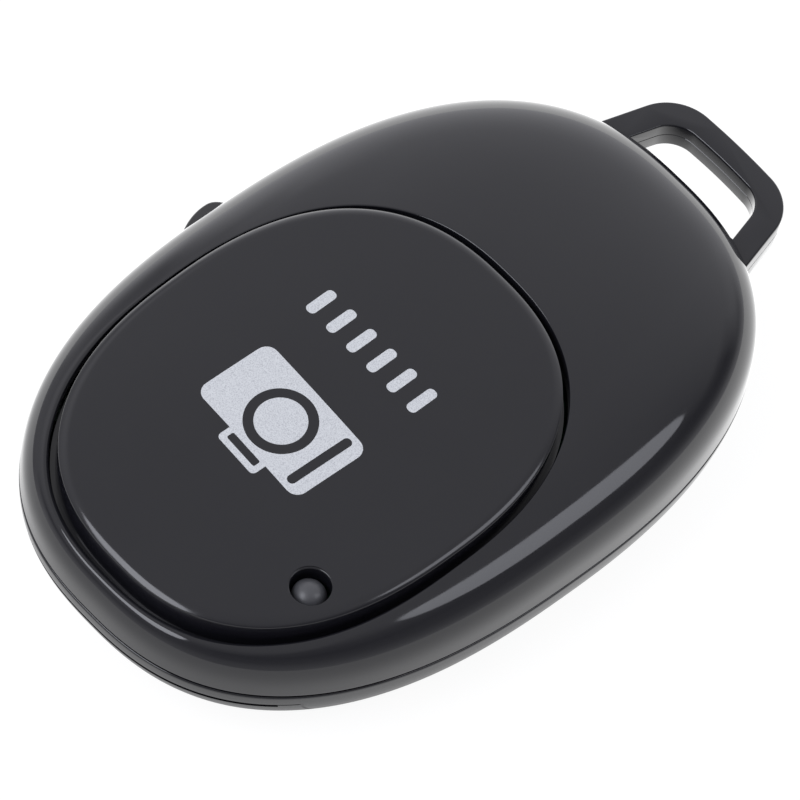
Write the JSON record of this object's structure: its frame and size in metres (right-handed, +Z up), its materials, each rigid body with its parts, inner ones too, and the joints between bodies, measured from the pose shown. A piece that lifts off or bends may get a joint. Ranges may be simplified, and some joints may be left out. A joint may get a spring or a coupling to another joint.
{
  "type": "camera shutter remote",
  "caption": "Pebble-shaped wireless shutter remote with a large push button, side slide switch, pry-off coin cell cover and a lanyard loop.",
  "frame": {"origin": "centre of the pebble's plan outline on the flat back, which the remote lies on", "axes": "+Y along the length towards the lanyard loop, +X across the width, away from the slide switch, +Z up out of the button"},
  "size_m": [0.0317, 0.0509, 0.0115],
  "materials": {
    "housing_plastic": "moulded black plastic, polished",
    "button_plastic": "moulded black plastic, polished, slightly softer gloss",
    "light_guide_plastic": "smoked clear plastic",
    "knob_plastic": "fine matt texture",
    "board_laminate": "green solder mask",
    "switch_resin": "matt black resin",
    "chip_resin": "matt black resin",
    "led_resin": "clear pale resin",
    "capacitor_ceramic": "tan ceramic",
    "seal_resin": "matt grey-blue resin",
    "nickel_steel": "nickel plated, satin",
    "cell_steel": "spun stainless steel",
    "gold_copper": "gold plated copper",
    "screw_steel": "blackened steel"
  },
  "bodies": {
    "housing": {"top_shell": "housing_plastic", "bottom_shell": "housing_plastic", "led_light_guide": "light_guide_plastic", "circuit_board": "board_laminate", "tact_switch_base": "switch_resin", "tact_switch_frame": "nickel_steel", "slide_switch_body": "nickel_steel", "status_led": "led_resin", "bluetooth_chip": "chip_resin", "memory_chip": "chip_resin", "crystal": "nickel_steel", "capacitors": "capacitor_ceramic", "resistors": "chip_resin", "antenna_trace": "gold_copper", "positive_contact": "nickel_steel", "negative_contact": "nickel_steel", "case_screws": "screw_steel", "board_screws": "screw_steel"},
    "button": {"shutter_button": "button_plastic"},
    "plunger": {"tact_switch_plunger": "switch_resin"},
    "power_switch": {"power_switch_knob": "knob_plastic", "slide_switch_lever": "switch_resin"},
    "cover": {"battery_cover": "housing_plastic"},
    "cell": {"cell_can": "cell_steel", "cell_seal": "seal_resin", "cell_cap": "cell_steel"}
  },
  "joints": [
    {"name": "button_press", "type": "slide", "parent": "housing", "child": "button", "axis": [0, 0, -1], "range_m": [0, 0.0003], "stiffness_N_per_m": 600, "springref_m": -0.0005},
    {"name": "plunger_press", "type": "slide", "parent": "housing", "child": "plunger", "axis": [0, 0, -1], "range_m": [0, 0.0003]},
    {"name": "switch_slide", "type": "slide", "parent": "housing", "child": "power_switch", "axis": [0, 1, 0], "range_m": [0, 0.002]},
    {"name": "cover_removal", "type": "slide", "parent": "housing", "child": "cover", "axis": [0, 0, -1], "range_m": [0, 0.012]},
    {"name": "cell_removal", "type": "slide", "parent": "housing", "child": "cell", "axis": [0, 0, -1], "range_m": [0, 0.006]}
  ],
  "couplings": [
    {"joint": "plunger_press", "follows": "button_press", "ratio": 1},
    {"joint": "cell_removal", "follows": "cover_removal", "ratio": 0.5}
  ]
}
